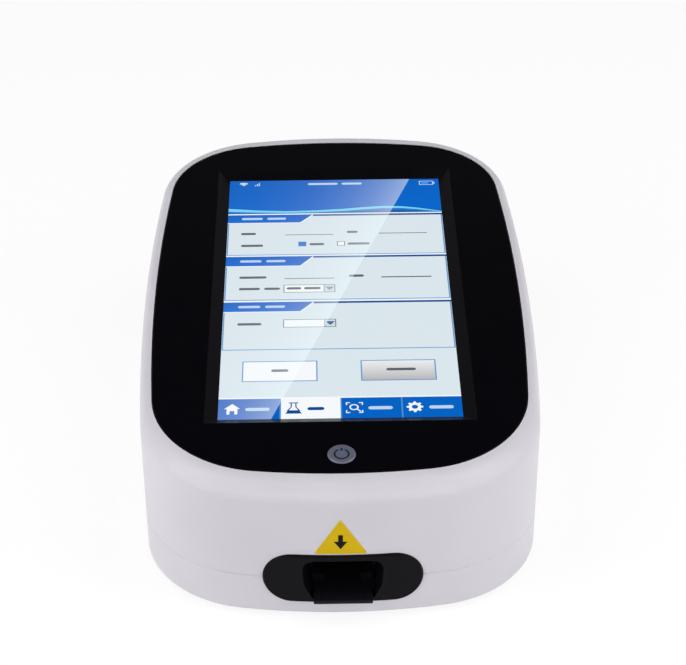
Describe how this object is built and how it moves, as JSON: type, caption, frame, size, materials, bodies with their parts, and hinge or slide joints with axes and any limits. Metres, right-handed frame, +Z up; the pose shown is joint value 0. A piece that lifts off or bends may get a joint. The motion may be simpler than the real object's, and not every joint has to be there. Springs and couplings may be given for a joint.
{
  "type": "rapid test reader",
  "caption": "Bench reader for test cassettes: low oval case with a sloping touch display, a power button and a motor-driven tray that slides out of the front.",
  "frame": {"origin": "on the table, at the centre of the footprint with the tray's protruding front included", "axes": "+Z up, +X to the right of someone facing the display, the tray comes out towards -Y"},
  "size_m": [0.169, 0.2662, 0.0856],
  "materials": {
    "shell_white": "satin gloss moulded ABS",
    "bezel_black": "smooth satin gloss",
    "screen_glass": "clear touch glass",
    "display_panel": "lit liquid crystal panel",
    "steel_plate": "bent sheet",
    "screw_steel": "zinc plated",
    "rubber_grey": "matte",
    "button_metal": "satin anodised",
    "switch_plastic": "moulded",
    "circuit_board": "solder mask",
    "trim_black": "satin",
    "marker_yellow": "printed film",
    "tray_black": "satin",
    "acetal_white": "machined acetal",
    "motor_steel": "plated can",
    "guide_grey": "glass filled nylon",
    "optics_black": "light tight moulding",
    "lens_glass": "coated optical glass",
    "lamp_clear": "clear epoxy",
    "chip_black": "epoxy",
    "heat_sink_aluminium": "extruded",
    "cable_film": "polyimide film",
    "socket_metal": "drawn shell",
    "socket_black": "moulded"
  },
  "bodies": {
    "reader_case": {"lower_shell": "shell_white", "upper_shell": "shell_white", "case_screws": "screw_steel", "foot_front_left": "rubber_grey", "foot_front_right": "rubber_grey", "foot_rear_left": "rubber_grey", "foot_rear_right": "rubber_grey", "display_bezel": "bezel_black", "touch_glass": "screen_glass", "lcd_module": "display_panel", "lcd_straps": "steel_plate", "lcd_screws": "screw_steel", "button_switch": "switch_plastic", "button_board": "circuit_board", "button_board_screws": "screw_steel", "tray_trim": "trim_black", "marker_label": "marker_yellow", "drive_motor": "motor_steel", "motor_bracket": "steel_plate", "motor_screws": "screw_steel", "bracket_screws": "screw_steel", "tray_guide": "guide_grey", "guide_screws": "screw_steel", "optics_housing": "optics_black", "optics_screws": "screw_steel", "objective_lens": "lens_glass", "excitation_lamp": "lamp_clear", "sensor_board": "circuit_board", "light_sensor": "chip_black", "optics_cover": "optics_black", "home_sensor": "optics_black", "main_board": "circuit_board", "board_screws": "screw_steel", "processor": "chip_black", "heat_sink": "heat_sink_aluminium", "buzzer": "optics_black", "display_connector": "switch_plastic", "display_cable": "cable_film", "usb_socket_left": "socket_metal", "usb_socket_right": "socket_metal", "dc_inlet": "socket_black"},
    "tray": {"sample_tray": "tray_black", "tray_rack": "acetal_white"},
    "pinion": {"drive_pinion": "acetal_white", "motor_shaft": "screw_steel"},
    "button": {"power_button": "button_metal", "switch_plunger": "switch_plastic"}
  },
  "joints": [
    {"name": "tray_slide", "type": "slide", "parent": "reader_case", "child": "tray", "axis": [0, -1, 0], "range_m": [0, 0.045]},
    {"name": "pinion_spin", "type": "hinge", "parent": "reader_case", "child": "pinion", "pos_m": [0.01905, -0.05215, 0.0141], "axis": [0, 0, 1], "range_deg": [0, 323]},
    {"name": "button_press", "type": "slide", "parent": "reader_case", "child": "button", "axis": [0, 0.0872, -0.9962], "range_m": [0, 0.0006], "stiffness_N_per_m": 2500, "springref_m": -0.0002}
  ],
  "couplings": [
    {"joint": "pinion_spin", "follows": "tray_slide", "rad_per_m": 125}
  ]
}
